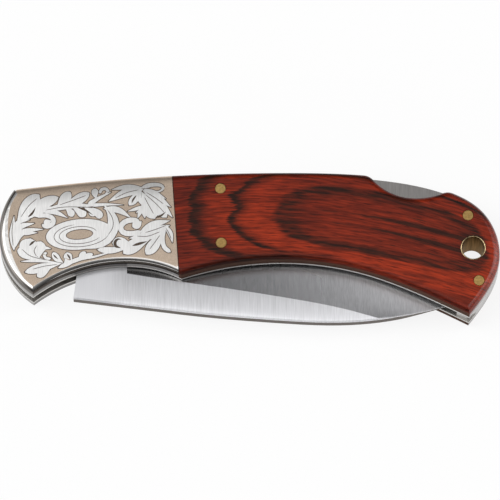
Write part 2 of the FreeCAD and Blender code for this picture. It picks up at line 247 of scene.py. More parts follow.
# Scrollwork: acanthus leaves, curls and one large volute that the etching left standing on each
# bolster. They are bright brushed metal with a darker line etched round each leaf.
rear_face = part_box("rear_bolster")[0].z
front_face = bolster_high.z
volute_eye = bolster_low.xy + Vector((17.74, 13.47)) * MM
leaf_height = 0.05 * MM
line_height = 0.01 * MM
root_depth = 0.04 * MM
outline_width = 0.17
least_width = 0.02
ribbon_steps = 14


def leaf(t):
    """A pointed leaf: narrow at its stalk, widest before the middle, a sharp tip."""
    return math.sin(math.pi * t ** 0.8) ** 0.9


def lobe(t):
    """A rounded lobe: narrow at its stalk, widest near its blunt tip."""
    return math.sin(math.pi * t ** 1.6) ** 0.6


def band(t):
    """A stem or a curl: even along its length, with rounded ends."""
    return math.sqrt(1 - (2 * t - 1) ** 8)


def taper(t):
    """A tendril: thick at its root, thinning to its tip."""
    return (1 - t) ** 0.7 * min(1.0, 8 * t + 0.2)


# Each motif is its kind, its half width in millimetres, and the points along its middle, in
# millimetres from the volute's eye.
leaves = [
    # The upper left leaf and its stem.
    (lobe, 1.5, [(-13.7, 3.2), (-11.7, 6.3), (-8.9, 9.2)]),
    (lobe, 1.2, [(-12.2, 4.2), (-8.6, 6.8), (-4.7, 8.6)]),
    (leaf, 1.0, [(-13.7, 3.1), (-9.6, 5.3), (-5.2, 6.3)]),
    # The upper middle leaf.
    (lobe, 1.15, [(-5.0, 6.2), (-3.6, 7.8), (-2.1, 9.8)]),
    (lobe, 1.15, [(-3.8, 6.2), (-0.9, 7.7), (2.1, 9.6)]),
    (leaf, 0.75, [(-7.8, 5.5), (-2.4, 6.6), (3.4, 6.6)]),
    # The leaf under the stem.
    (lobe, 0.8, [(-3.2, 6.2), (-2.1, 5.2), (-1.5, 4.1)]),
    (lobe, 1.0, [(-1.6, 6.2), (0.1, 5.2), (1.3, 4.2)]),
    (lobe, 0.9, [(1.0, 6.2), (2.6, 5.3), (3.5, 4.3)]),
    (lobe, 0.85, [(2.8, 6.2), (4.1, 4.9), (4.4, 3.6)]),
    (leaf, 0.55, [(-8.4, 5.3), (-5.4, 5.1), (-2.6, 3.8)]),
    # The long stem and the leaves at its end.
    (taper, 0.45, [(2.4, 6.7), (6.0, 6.9), (9.6, 6.8)]),
    (leaf, 0.7, [(5.2, 6.0), (8.4, 5.6), (11.2, 3.9)]),
    (taper, 0.6, [(1.8, 6.8), (4.2, 8.4), (6.9, 9.8)]),
    (lobe, 0.75, [(3.6, 8.2), (3.3, 9.4), (3.4, 10.6)]),
    (band, 0.34, [(4.4, 9.4), (4.7, 10.3), (5.7, 10.5), (6.2, 9.7), (5.5, 9.2)]),
    # The left leaves, fingers and hook.
    (band, 0.5, [(-9.8, 4.1), (-7.6, 4.4), (-5.9, 3.7), (-5.9, 2.4), (-7.2, 1.8), (-8.3, 2.3)]),
    (lobe, 0.75, [(-6.2, 3.2), (-7.0, 2.8), (-7.9, 2.6)]),
    (leaf, 0.65, [(-14.3, -3.7), (-14.7, 0.2), (-14.4, 4.3)]),
    (leaf, 0.7, [(-14.3, -3.3), (-13.2, -0.2), (-11.2, 0.9), (-7.9, 1.2)]),
    (leaf, 0.7, [(-14.4, -1.4), (-13.2, 1.6), (-9.9, 2.6)]),
    (leaf, 0.5, [(-14.7, 0.8), (-13.4, 2.8), (-10.9, 3.4)]),
    (leaf, 0.34, [(-12.2, -0.1), (-10.8, 0.3), (-9.2, 0.4)]),
    # The round lower left leaf.
    (taper, 1.0, [(-12.8, -2.9), (-12.3, -4.6), (-9.4, -5.6), (-5.3, -6.5)]),
    (lobe, 2.1, [(-9.2, -5.5), (-11.0, -3.5), (-10.7, -0.9)]),
    (lobe, 1.2, [(-11.9, -4.7), (-11.1, -3.6), (-11.1, -2.0)]),
    (lobe, 1.5, [(-8.8, -5.4), (-8.9, -3.5), (-8.4, -1.6)]),
    (leaf, 0.4, [(-9.0, -3.5), (-7.6, -3.1), (-6.2, -3.3)]),
    # The lower stem and its leaves.
    (leaf, 0.32, [(-12.8, -6.2), (-8.4, -6.1), (-3.6, -6.7)]),
    (lobe, 1.0, [(-3.9, -6.7), (-7.6, -7.5), (-11.9, -8.7)]),
    (lobe, 0.8, [(-6.4, -8.0), (-7.8, -8.8), (-9.2, -9.7)]),
    (leaf, 0.55, [(-4.6, -7.7), (-2.3, -6.6), (0.2, -5.1)]),
    (lobe, 0.95, [(-3.3, -6.6), (-2.5, -5.6), (-2.7, -4.1)]),
    (lobe, 0.75, [(-3.5, -6.5), (-4.8, -5.6), (-5.8, -4.1)]),
    (band, 0.3, [(-6.2, -5.6), (-7.3, -5.4), (-7.7, -4.6), (-7.1, -4.2)]),
    (lobe, 0.6, [(-0.2, -5.6), (0.5, -4.8), (1.4, -4.0)]),
    (lobe, 0.5, [(0.2, -5.5), (1.6, -4.9), (3.0, -4.5)]),
    (taper, 0.4, [(-3.0, -7.0), (0.2, -5.7), (3.4, -5.1), (6.4, -4.2), (8.6, -3.7)]),
    # The crown of leaves at the upper right.
    (leaf, 0.95, [(13.9, 10.4), (10.0, 9.6), (6.3, 7.6)]),
    (leaf, 0.55, [(13.4, 10.9), (10.0, 10.9), (6.9, 10.3)]),
    (lobe, 0.9, [(13.2, 10.6), (12.3, 8.6), (10.8, 6.7)]),
    (
        taper, 0.55,
        [(13.4, 10.7), (15.5, 11.4), (17.5, 11.4), (18.3, 10.7), (17.4, 9.9), (16.1, 10.1)],
    ),
    (leaf, 0.6, [(14.0, 10.4), (16.4, 9.5), (18.9, 8.2)]),
    (leaf, 0.8, [(13.8, 10.2), (16.8, 8.7), (20.0, 6.3)]),
    (leaf, 0.8, [(14.4, 9.0), (17.8, 6.9), (20.4, 3.9)]),
    (lobe, 1.7, [(13.6, 9.8), (15.0, 6.8), (16.5, 3.6)]),
    (lobe, 1.3, [(13.8, 9.6), (16.6, 6.8), (19.1, 3.9)]),
    (leaf, 0.6, [(14.6, 7.2), (14.2, 5.2), (14.3, 3.7)]),
    (leaf, 0.55, [(14.4, 7.0), (13.4, 5.4), (12.7, 3.7)]),
    (leaf, 0.4, [(14.4, 6.6), (12.4, 5.9), (10.5, 5.3)]),
    (leaf, 0.3, [(14.2, 6.2), (13.2, 5.5), (12.3, 5.0)]),
    (leaf, 0.5, [(13.4, 11.0), (13.0, 8.4), (14.2, 6.2)]),
    # The curl at the right and the leaves on its stem.
    (
        band, 0.6,
        [(13.2, 2.6), (12.0, 3.3), (10.1, 3.0), (9.0, 1.7), (9.7, 0.4), (11.7, 0.2), (13.8, 0.8)],
    ),
    (lobe, 0.95, [(13.6, 3.0), (12.8, 2.4), (11.6, 1.7)]),
    (leaf, 0.85, [(13.3, 0.5), (16.4, 2.3), (19.8, 3.2)]),
    (leaf, 0.85, [(13.3, 0.2), (16.6, 0.8), (19.8, 2.1)]),
    # The lower right leaf.
    (leaf, 1.15, [(19.6, 2.1), (15.6, 0.0), (10.9, -0.9)]),
    (lobe, 1.5, [(16.6, 0.2), (12.8, -2.0), (9.6, -4.4)]),
    (lobe, 1.3, [(18.4, 1.2), (16.6, -2.0), (14.6, -4.6)]),
    (lobe, 0.75, [(11.6, -2.6), (7.6, -3.6), (3.9, -3.5)]),
    (lobe, 1.35, [(11.4, -2.4), (9.4, -2.0), (7.2, -1.9)]),
    (leaf, 0.55, [(18.8, 2.0), (19.9, 0.2), (20.4, -1.9)]),
    (band, 0.48, [(18.6, 1.4), (18.2, -0.8), (18.6, -2.9), (20.0, -4.1)]),
    # The volute's tail.
    (leaf, 1.35, [(0.4, -3.2), (5.2, -1.6), (7.3, 1.8), (6.9, 4.6), (5.3, 6.8)]),
]
slits = [
    (leaf, 0.24, [(-11.3, 4.0), (-10.4, 4.9), (-9.7, 6.2)]),
    (leaf, 0.22, [(-0.6, 6.3), (1.2, 5.6), (2.9, 4.5)]),
    (leaf, 0.24, [(-11.0, -2.6), (-10.3, -1.9), (-9.6, -1.4)]),
    (leaf, 0.2, [(-2.7, -4.5), (-2.2, -5.2), (-1.9, -5.9)]),
    (leaf, 0.16, [(-5.7, -4.6), (-5.2, -5.2), (-4.6, -5.7)]),
    (leaf, 0.3, [(11.6, -2.6), (13.2, -2.1), (14.9, -1.6)]),
    (leaf, 0.24, [(16.6, 3.9), (17.8, 4.3), (18.9, 5.2)]),
    (leaf, 0.2, [(12.4, 9.0), (11.7, 8.0), (11.4, 7.2)]),
    (leaf, 0.34, [(9.0, -3.1), (8.0, -2.7), (7.8, -1.8), (8.4, -1.1), (9.2, -1.2)]),
]
veins = [
    [(-12.9, 4.0), (-11.2, 6.6), (-9.4, 8.3)],
    [(-7.4, 5.6), (-3.4, 6.3), (1.6, 6.3)],
    [(-4.4, 6.8), (-1.4, 7.9), (1.4, 9.0)],
    [(-14.5, -2.7), (-14.8, 0.4), (-14.6, 3.2)],
    [(-12.6, -3.4), (-10.6, -5.0), (-7.2, -5.9)],
    [(-9.4, -5.0), (-9.9, -3.8), (-9.4, -2.6)],
    [(-4.8, -6.9), (-7.6, -7.3), (-10.2, -8.0)],
    [(12.9, 10.3), (10.2, 9.6), (7.8, 8.4)],
    [(14.2, 8.6), (15.2, 6.6), (16.2, 4.8)],
    [(14.4, 9.2), (16.6, 7.2), (18.6, 5.0)],
    [(14.6, 9.7), (16.6, 8.4), (18.4, 7.0)],
    [(14.4, 0.4), (16.8, 1.2), (19.0, 2.1)],
    [(17.6, 0.6), (15.0, -0.4), (12.6, -0.4)],
    [(17.6, -0.2), (16.4, -2.0), (15.4, -3.4)],
    [(19.0, 1.4), (19.6, 0.2), (20.1, -1.0)],
    [(6.3, -0.1), (7.3, 1.7), (7.2, 3.7), (6.1, 5.7)],
]
volute_radii = (7.35, 3.5)
eye_radii = (3.0, 1.2)
volute_turn = math.radians(6.0)
vein_width = 0.07
# Lines that wind round the volute: first and last angle, and how far out they start and end.
volute_lines = [(15, 330, 0.2, 0.45), (100, 345, 0.5, 0.8)]
volute_steps = 48


def along(points, steps):
    """Points evenly spread in each span of a smooth curve through the given points."""
    ends = [2 * Vector(points[0]) - Vector(points[1]), 2 * Vector(points[-1]) - Vector(points[-2])]
    knots = [ends[0]] + [Vector(p) for p in points] + [ends[1]]
    path = []
    for step in range(steps + 1):
        t = step / steps * (len(points) - 1)
        span = min(int(t), len(points) - 2)
        t -= span
        a, b, c, d = knots[span:span + 4]
        bend = 2 * a - 5 * b + 4 * c - d
        path.append((2 * b + (c - a) * t + bend * t ** 2 + (3 * b - a - 3 * c + d) * t ** 3) / 2)
    return path


def ribbon(points, half_width, profile, extra=0.0, steps=ribbon_steps):
    """Quads along a curve, as wide as the profile says, and wider by extra on each side."""
    path = along(points, steps)
    rails = []
    for step, point in enumerate(path):
        run = (path[min(step + 1, steps)] - path[max(step - 1, 0)]).normalized()
        across = Vector((-run.y, run.x)) * max(half_width * profile(step / steps) + extra, least_width)
        stretch = run * extra * (step == steps) - run * extra * (step == 0)
        rails.append((point - across + stretch, point + across + stretch))
    return [(a[0], b[0], b[1], a[1]) for a, b in zip(rails, rails[1:])]


def on_oval(radii, angle):
    """A point on an oval round the volute's eye, which is tipped a little."""
    point = Vector((radii[0] * math.cos(angle), radii[1] * math.sin(angle)))
    point.rotate(Matrix.Rotation(volute_turn, 2))
    return point


def oval(radii, count=64):
    """Points all round an oval."""
    return [on_oval(radii, 2 * math.pi * step / count) for step in range(count)]


def ring(inner, outer):
    """Quads between two ovals."""
    pairs = list(zip(oval(inner), oval(outer)))
    return [(a[0], a[1], b[1], b[0]) for a, b in zip(pairs, pairs[1:] + pairs[:1])]


def grown(radii, extra):
    """An oval's radii, larger by extra."""
    return radii[0] + extra, radii[1] + extra


faces_by_kind = {"leaf": [], "outline": [], "cut": [], "vein": []}
for profile, half_width, points in leaves:
    faces_by_kind["leaf"] += ribbon(points, half_width, profile)
    faces_by_kind["outline"] += ribbon(points, half_width, profile, outline_width)
for profile, half_width, points in slits:
    faces_by_kind["cut"] += ribbon(points, half_width, profile)
for points in veins:
    faces_by_kind["vein"] += ribbon(points, vein_width, band)
faces_by_kind["leaf"] += ring(eye_radii, volute_radii)
faces_by_kind["outline"] += ring(grown(eye_radii, -outline_width), grown(volute_radii, outline_width))
for first, last, inner, outer in volute_lines:
    winding = []
    for step in range(volute_steps + 1):
        t = step / volute_steps
        share = inner + (outer - inner) * t
        radii = [e + (v - e) * share for e, v in zip(eye_radii, volute_radii)]
        winding.append(on_oval(radii, math.radians(first + (last - first) * t)))
    faces_by_kind["vein"] += ribbon(winding, vein_width, band, steps=volute_steps)


def plan_of_scrollwork():
    """Triangles of the whole design in plan, each with its kind: leaf or line."""
    corners, quads, kinds = [], [], []
    for kind, found in faces_by_kind.items():
        for quad in found:
            corner_sets = zip(quad, quad[1:] + quad[:1], quad[2:] + quad[:2])
            if min((b - a).cross(c - b) for a, b, c in corner_sets) <= 0:
                continue
            quads.append([len(corners) + corner for corner in range(4)])
            corners += quad
            kinds.append(kind)
    inside_only, merge_within, with_sources = 1, 1e-5, True
    plan = geometry.delaunay_2d_cdt(corners, [], quads, inside_only, merge_within, with_sources)
    spots, _, triangles, _, _, sources_of = plan
    labelled = []
    for triangle, sources in zip(triangles, sources_of):
        cover = {kinds[source] for source in sources}
        whole = "leaf" in cover and not cover & {"cut", "vein"}
        if cover:
            labelled.append((tuple(triangle), "leaf" if whole else "line"))
    return spots, labelled


def new_piece(name, places, faces):
    """A piece in the scene, from the places of its corners and its faces."""
    mesh = bpy.data.meshes.new(name)
    mesh.from_pydata(places, [], faces)
    piece = bpy.data.objects.new(name, mesh)
    bpy.context.scene.collection.objects.link(piece)
    return piece


def raised_scrollwork(name, face, up, plan):
    """The plan as a closed mesh that stands on a bolster's face."""
    points, triangles = plan
    heights = {None: -root_depth, "line": line_height, "leaf": leaf_height}
    levels = sorted(heights.values())
    beside = {}
    for (a, b, c), kind in triangles:
        beside.update({(a, b): kind, (b, c): kind, (c, a): kind})
    places, index, faces, slots = [], {}, [], []

    def corner(point, height):
        if (point, height) not in index:
            index[point, height] = len(places)
            spot = volute_eye + points[point] * MM
            places.append((spot.x, spot.y, face + up * height))
        return index[point, height]

    for triangle, kind in triangles:
        faces.append([corner(point, heights[kind]) for point in triangle])
        faces.append([corner(point, heights[None]) for point in reversed(triangle)])
        slots += [int(kind == "line"), 1]
        for a, b in zip(triangle, triangle[1:] + triangle[:1]):
            foot = heights[beside.get((b, a))]
            for low, high in zip(levels, levels[1:]):
                if foot <= low and high <= heights[kind]:
                    faces.append([corner(a, high), corner(a, low), corner(b, low), corner(b, high)])
                    slots.append(1)
    if up < 0:
        faces = [list(reversed(f)) for f in faces]
    piece = new_piece(name, places, faces)
    piece.data.polygons.foreach_set("material_index", slots)
    return piece


# Painted shade darkens the leaves a little towards the upper right and above the middle, and most at the
# back's edge.
leaf_painted_shade = [
    ((0.62, 0.79, 0.0), -30.0, -6.0, 0.87),
    (towards_back, 13.0, 15.5, 0.68),
    ((0.1, 1.0, 0.0), 7.4, 9.8, 0.86),
]
leaf_metal = brushed_metal(
    "brushed_nickel_silver", "#FAF9F8", 0.34, "y", 0.2, 2.5, depth=0.15, tone=0.16, shade_fades=leaf_painted_shade,
)
line_metal = brushed_metal("etched_dark_line", "#62564D", 0.6, "y", 0.15, 0.4, depth=0.1)
scrollwork_plan = plan_of_scrollwork()
for name, face, up in (("front_scrollwork", front_face, 1), ("rear_scrollwork", rear_face, -1)):
    scrollwork = raised_scrollwork(name, face, up, scrollwork_plan)
    scrollwork.data.materials.append(leaf_metal)
    scrollwork.data.materials.append(line_metal)
    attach(scrollwork, "handle")

# Scales: dyed veneers of beech pressed into a block, sawn to show flame-like bands, shaped with
# rounded edges and buffed to a soft gloss. Each one is pinned and glued to its liner.
handle_middle = (rear_face + front_face) / 2
joint_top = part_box("front_scale")[0].x
joint_foot = 7.0 * MM
joint_lean = (bolster_high.x - joint_top) / (bolster_high.y + joint_foot)
# The heart that the bands ring, in millimetres: its middle along the handle, its half length and half
# height, the height of its line at the middle of the knife, and how that sags along the handle.
heart_middle, heart_half_length, heart_half_height = 29.0, 23.5, 7.4
heart_height, heart_sag = 7.4, 0.0035
# The middle of the stripes lies this far below the heart's line.
stripe_drop = 1.42
# The belly as a parabola: where along the handle its top is, and its bend.
belly_top, belly_bend = 8.2, 0.0083


def fill_ramp(ramp, stops, low, high):
    """Sets a colour ramp's stops, given as places from low to high with their grey levels."""
    elements = ramp.node.color_ramp.elements
    while len(elements) < len(stops):
        elements.new(0.5)
    for element, (at, grey) in zip(elements, stops):
        element.position = (at - low) / (high - low)
        element.color = (grey, grey, grey, 1.0)


def dyed_laminate():
    """Red wood with dark bands that ring a long heart, and dark stripes in it, all along the fibres."""
    material, tree, shader = new_material("dyed_laminated_beech")
    metres, facing = surface(tree)
    mm = add(tree, "VectorMath", (metres, 1 / MM), operation="SCALE")
    axes = add(tree, "SeparateXYZ", (mm,)).node.outputs
    # The fibres and the bands sag together along the handle.
    x_squared = add(tree, "Math", (axes[0], 2.0), operation="POWER")
    sag = add(tree, "Math", (x_squared, heart_sag, -heart_height), operation="MULTIPLY_ADD")
    across = add(tree, "Math", (axes[1], sag), operation="ADD")
    fibrewise = add(tree, "CombineXYZ", (axes[0], across, axes[2]))
    # Millimetres along, across and through the wood. Real fibres are finer, and would not show.
    wave_size, ragged_size, patch_size = (16.0, 3.5, 3.5), (2.6, 0.24, 0.24), (9.0, 1.6, 1.6)
    smoke_size, fibre_size, pore_size = (5.0, 0.6, 0.6), (5.0, 0.38, 0.38), (3.0, 0.26, 0.26)
    noises = []
    for place, size, detail in (
        (mm, wave_size, 0.0), (mm, ragged_size, 1.0), (fibrewise, patch_size, 2.0),
        (fibrewise, smoke_size, 2.0), (fibrewise, fibre_size, 2.0), (fibrewise, pore_size, 1.0),
    ):
        spread = add(tree, "VectorMath", (place, size), operation="DIVIDE")
        noises.append(add(tree, "TexNoise", {"Vector": spread, "Scale": 1.0, "Detail": detail}))
    wave, ragged, patch, smoke, fibre, pore = noises
    bend = add(tree, "MapRange", (wave, 0.0, 1.0, -2.8, 2.8))
    tear = add(tree, "MapRange", (ragged, 0.0, 1.0, -1.3, 1.3))
    moved = add(tree, "Math", (bend, tear), operation="ADD")
    x = add(tree, "Math", (axes[0], moved), operation="ADD")
    from_heart = add(tree, "Math", (x, heart_middle), operation="SUBTRACT")
    powers = []
    for distance, half in ((from_heart, heart_half_length), (across, heart_half_height)):
        share = add(tree, "Math", (distance, half), operation="DIVIDE")
        size = add(tree, "Math", (share,), operation="ABSOLUTE")
        powers.append(add(tree, "Math", (size, 3.0), operation="POWER"))
    total = add(tree, "Math", (powers[0], powers[1]), operation="ADD")
    radius = add(tree, "Math", (total, 1 / 3), operation="POWER")
    ring_reach, stripe_reach = 2.5, 6.0
    ring_share = add(tree, "Math", (radius, ring_reach), operation="DIVIDE")
    rings = add(tree, "ValToRGB", (ring_share,))
    fill_ramp(rings, [
        (0.0, 0.15), (0.6, 0.2), (0.74, 0.5), (0.84, 0.85), (0.97, 0.95), (1.03, 0.1),
        (1.24, 0.0), (1.31, 0.4), (1.35, 0.95), (1.385, 1.0), (1.41, 0.12), (1.6, 0.1),
        (1.68, 0.7), (1.73, 1.0), (1.78, 1.0), (1.81, 0.15), (2.3, 0.25),
    ], 0.0, ring_reach)
    glow = add(tree, "ValToRGB", (ring_share,))
    fill_ramp(glow, [
        (0.0, 0.35), (0.95, 0.4), (1.03, 0.95), (1.28, 0.85),
        (1.45, 0.8), (1.62, 0.6), (1.85, 0.3), (2.3, 0.25),
    ], 0.0, ring_reach)
    torn = add(tree, "Math", (moved, 0.12, across), operation="MULTIPLY_ADD")
    stripe_place = add(tree, "Math", (torn, stripe_drop), operation="ADD")
    stripe_share = add(tree, "MapRange", (stripe_place, -stripe_reach, stripe_reach))
    stripes = add(tree, "ValToRGB", (stripe_share,))
    fill_ramp(stripes, [
        (-5.0, 0.0), (-3.8, 0.0), (-2.9, 0.5), (-2.0, 0.0), (-1.2, 0.0), (0.0, 1.0),
        (1.2, 0.0), (1.7, 0.0), (2.9, 1.0), (3.9, 0.1), (4.4, 0.45), (5.0, 0.0),
    ], -stripe_reach, stripe_reach)
    # The stripes part into fibres, and thin out towards the bolster.
    parting = add(tree, "MapRange", (fibre, *noise_span, -0.3, 0.3))
    parted = add(tree, "Math", (stripes, parting), operation="ADD")
    thinnest = add(tree, "MapRange", (axes[0], 22.0, 41.0, 0.7, 0.26))
    fullest = add(tree, "Math", (thinnest, 0.4), operation="ADD")
    drawn_stripes = add(tree, "MapRange", (parted, thinnest, fullest))
    striped = faded(tree, drawn_stripes, (radius, 1.0, 0.85), (x, 8.0, 30.0, 0.45, 0.95))
    # The outer rings run out at the belly, and are faint below the heart.
    run_out = faded(tree, 1.0, (radius, 1.2, 1.28), (across, -5.5, -8.0), (axes[0], 4.0, 16.0))
    least = add(tree, "MapRange", (radius, 0.95, 1.1, 0.5, 0.82))
    broken = faded(tree, rings, (run_out, 0.0, 1.0, 1.0, 0.35), (smoke, 0.35, 0.62, least, 1.1))
    # A dark veneer comes out along the belly behind the bolster.
    from_top = add(tree, "Math", (axes[0], belly_top), operation="SUBTRACT")
    top_squared = add(tree, "Math", (from_top, 2.0), operation="POWER")
    straight = add(tree, "Math", (top_squared, belly_bend, axes[1]), operation="MULTIPLY_ADD")
    torn_straight = add(tree, "Math", (tear, 0.25, straight), operation="MULTIPLY_ADD")
    belly_veneer = faded(tree, 1.0, (torn_straight, -0.6, -2.6, 0.0, 0.85), (axes[0], 26.0, 8.0))
    heart_dark = add(tree, "Math", (broken, striped), operation="MAXIMUM")
    dark = add(tree, "Math", (heart_dark, belly_veneer), operation="MAXIMUM")
    patchy = add(tree, "MapRange", (patch, *noise_span, -0.25, 0.25))
    dimmed = add(tree, "MapRange", (across, 1.0, 7.0, 1.0, 0.35))
    held_glow = add(tree, "Math", (glow, dimmed, patchy), operation="MULTIPLY_ADD")
    butt_glow = add(tree, "MapRange", (axes[0], 15.0, 40.0, 0.0, 0.2))
    lit = add(tree, "Math", (held_glow, butt_glow), operation="ADD", use_clamp=True)
    red = add(tree, "Mix", (lit, linear("#621B0E"), linear("#942D12")), data_type="RGBA")
    wood = add(tree, "Mix", (dark, red, linear("#2B130A")), data_type="RGBA")
    # Pale and dark fibres and open pores.
    fine = faded(tree, 1.0, (fibre, *noise_span, 0.52, 1.45), (pore, 0.57, 0.68, 1.0, 0.5))
    streaked = add(tree, "VectorMath", (wood, fine), operation="SCALE")
    # A dark glue line along the joint with the bolster, and along the liner a dark joint with painted
    # shade on the wall beside it.
    from_middle = add(tree, "Math", (axes[2], handle_middle / MM), operation="SUBTRACT")
    height = add(tree, "Math", (from_middle,), operation="ABSOLUTE")
    below_top = add(tree, "Math", (bolster_high.y / MM, axes[1]), operation="SUBTRACT")
    joint = add(tree, "Math", (below_top, joint_lean, joint_top / MM), operation="MULTIPLY_ADD")
    from_joint = add(tree, "Math", (axes[0], joint), operation="SUBTRACT")
    glue_line = add(tree, "MapRange", (from_joint, 0.4, 0.1, 0.0, 0.8))
    liner_joint_and_shade = add(tree, "MapRange", (height, 4.1, 3.8, 0.0, 0.8))
    lines = add(tree, "Math", (liner_joint_and_shade, glue_line), operation="MAXIMUM")
    outlined = add(tree, "Mix", (lines, streaked, linear("#2B1B15")), data_type="RGBA")
    # Painted shade with a grey painted reflection turns the belly a matt grey brown below its rounding,
    # and the butt is worn glossy by the hand.
    at_butt = faded(tree, 1.0, (facing["X"], 0.02, 0.12), (axes[0], 40.0, 46.0))
    off_butt = add(tree, "Math", (1.0, at_butt), operation="SUBTRACT")
    down = add(tree, "Math", (facing["Y"], off_butt), operation="MULTIPLY")
    belly_shade_zone = faded(tree, 1.0, (down, -0.15, -0.4), (height, 4.6, 4.2, 0.0, 0.85))
    # Painted shade darkens the rounding along the belly and the rounding at the back.
    edges = faded(tree, 1.0, (down, -0.05, -0.45, 1.0, 0.5), (facing["Y"], 0.15, 0.6, 1.0, 0.6))
    edge_shaded = add(tree, "VectorMath", (outlined, edges), operation="SCALE")
    colour = add(tree, "Mix", (belly_shade_zone, edge_shaded, linear("#5A463D")), data_type="RGBA")
    rough = add(tree, "MapRange", (fibre, *noise_span, 0.42, 0.3))
    gloss = add(tree, "MapRange", (belly_shade_zone, 0.0, 0.6, 0.08, 0.0))
    buffed = add(tree, "MapRange", (belly_shade_zone, 0.0, 0.6, 0.15, 0.0))
    handled = add(tree, "Math", (buffed, at_butt), operation="MAXIMUM")
    fibre_depth = 0.02 * MM
    bump = add(tree, "Bump", {"Height": fibre, "Strength": 0.2, "Distance": fibre_depth})
    feed(tree, shader, {"Base Color": colour, "Roughness": rough, "Normal": bump})
    feed(tree, shader, {"Specular IOR Level": gloss, "Coat Weight": handled, "Coat Roughness": 0.25})
    return material


dress(dyed_laminate(), "front_scale", "rear_scale")

# Handle pins: brass rod, hammered in and sanded flush with the wood, a dull yellow with short
# scratches. Three go right through, and a short pair fixes the scales beside the blade. A fine
# chamfer shows as a dark ring in the wood.
pin_chamfer = 0.12 * MM
pin_sides = 64
weld = 0.001 * MM


def pin_tree():
    """One chamfered pin on each point, with the pin's sizes as inputs."""
    tree = bpy.data.node_groups.new("flush_pins", "GeometryNodeTree")
    sockets = {}
    sizes = [(label, "Float") for label in ("Radius", "Length", "Chamfer")]
    for label, kind in [("Centres", "Geometry")] + sizes + [("Brass", "Material")]:
        made = tree.interface.new_socket(name=label, in_out="INPUT", socket_type="NodeSocket" + kind)
        sockets[label] = made.identifier
    tree.interface.new_socket(name="Pins", in_out="OUTPUT", socket_type="NodeSocketGeometry")
    given = add(tree, "NodeGroupInput").node.outputs
    end_radius = add(tree, "Math", (given["Radius"], given["Chamfer"]), operation="SUBTRACT")
    widen = add(tree, "Math", (given["Radius"], end_radius), operation="DIVIDE")
    narrow = add(tree, "Math", (end_radius, given["Radius"]), operation="DIVIDE")
    barrel = add(tree, "Math", (given["Chamfer"], -2.0, given["Length"]), operation="MULTIPLY_ADD")
    start = add(tree, "GeometryNodeMeshCircle", (pin_sides, end_radius), fill_type="NGON")
    pin, top = start, True
    for rise, scale in ((given["Chamfer"], widen), (barrel, 1.0), (given["Chamfer"], narrow)):
        pin = add(tree, "GeometryNodeExtrudeMesh", {"Mesh": pin, "Selection": top, "Offset Scale": rise})
        top = pin.node.outputs["Top"]
        pin = add(tree, "GeometryNodeScaleElements", {"Geometry": pin, "Selection": top, "Scale": scale})
    foot = add(tree, "GeometryNodeFlipFaces", {"Mesh": start})
    whole = add(tree, "GeometryNodeJoinGeometry", {"Geometry": pin})
    feed(tree, whole.node, {"Geometry": foot})
    closed = add(tree, "GeometryNodeMergeByDistance", {"Geometry": whole, "Distance": weld})
    half = add(tree, "Math", (given["Length"], -0.5), operation="MULTIPLY")
    drop = add(tree, "CombineXYZ", {"Z": half})
    centred = add(tree, "GeometryNodeTransform", {"Geometry": closed, "Translation": drop})
    rows = add(tree, "GeometryNodeInstanceOnPoints", {"Points": given["Centres"], "Instance": centred})
    real = add(tree, "GeometryNodeRealizeInstances", {"Geometry": rows})
    finished = add(tree, "GeometryNodeSetMaterial", {"Geometry": real, "Material": given["Brass"]})
    add(tree, "NodeGroupOutput", {"Pins": finished})
    return tree, sockets


flush_pins, pin_inputs = pin_tree()
pin_brass = brushed_metal("sanded_brass", "#BC9A60", 0.36, "x", 0.4, 0.6, depth=0.5, tone=0.4)
pin_groups = {
    "through_pins": ("rocker_pin", "upper_butt_pin", "lower_butt_pin"),
    "scale_pins": ("front_scale_pin", "rear_scale_pin"),
}
for name, stood_for in pin_groups.items():
    corners = [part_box(node) for node in stood_for]
    low, high = corners[0]
    pins = new_piece(name, [(a + b) / 2 for a, b in corners], [])
    modifier = pins.modifiers.new("flush_pins", "NODES")
    modifier.node_group = flush_pins
    modifier[pin_inputs["Radius"]] = (high.x - low.x) / 2
    modifier[pin_inputs["Length"]] = high.z - low.z
    modifier[pin_inputs["Chamfer"]] = pin_chamfer
    modifier[pin_inputs["Brass"]] = pin_brass
    evaluated = pins.evaluated_get(bpy.context.evaluated_depsgraph_get())
    made = bpy.data.meshes.new_from_object(evaluated)
    pins.modifiers.clear()
    pins.data = made
    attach(pins, "handle")
    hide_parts(*stood_for)

# Lanyard tube: drawn brass tube pressed through the butt, with its two lips rounded by hand. The
# inside keeps the long marks of the drawing die.
tube_low, tube_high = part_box("lanyard_tube")
tube_outer = (tube_high.x - tube_low.x) / 2
lanyard_hole = next(m for m in frame["record"]["mounts"] if m["name"] == "lanyard_hole")
tube_inner = lanyard_hole["dims"]["r_mm"] * MM
lip_steps = 8
tube_sides = 96
wall_middle = (tube_outer + tube_inner) / 2
lip = (tube_outer - tube_inner) / 2
profile = []
for end, first in ((tube_high.z - lip, 0.0), (tube_low.z + lip, math.pi)):
    for step in range(lip_steps + 1):
        angle = first + math.pi * step / lip_steps
        profile.append((wall_middle + lip * math.cos(angle), end + lip * math.sin(angle)))
tube_centre = (tube_low + tube_high) / 2
places, faces = [], []
for side in range(tube_sides):
    angle = 2 * math.pi * side / tube_sides
    cosine, sine = math.cos(angle), math.sin(angle)
    places += [(tube_centre.x + r * cosine, tube_centre.y + r * sine, z) for r, z in profile]
    for step in range(len(profile)):
        after = (step + 1) % len(profile)
        here, there = side * len(profile), (side + 1) % tube_sides * len(profile)
        faces.append((here + step, there + step, there + after, here + after))


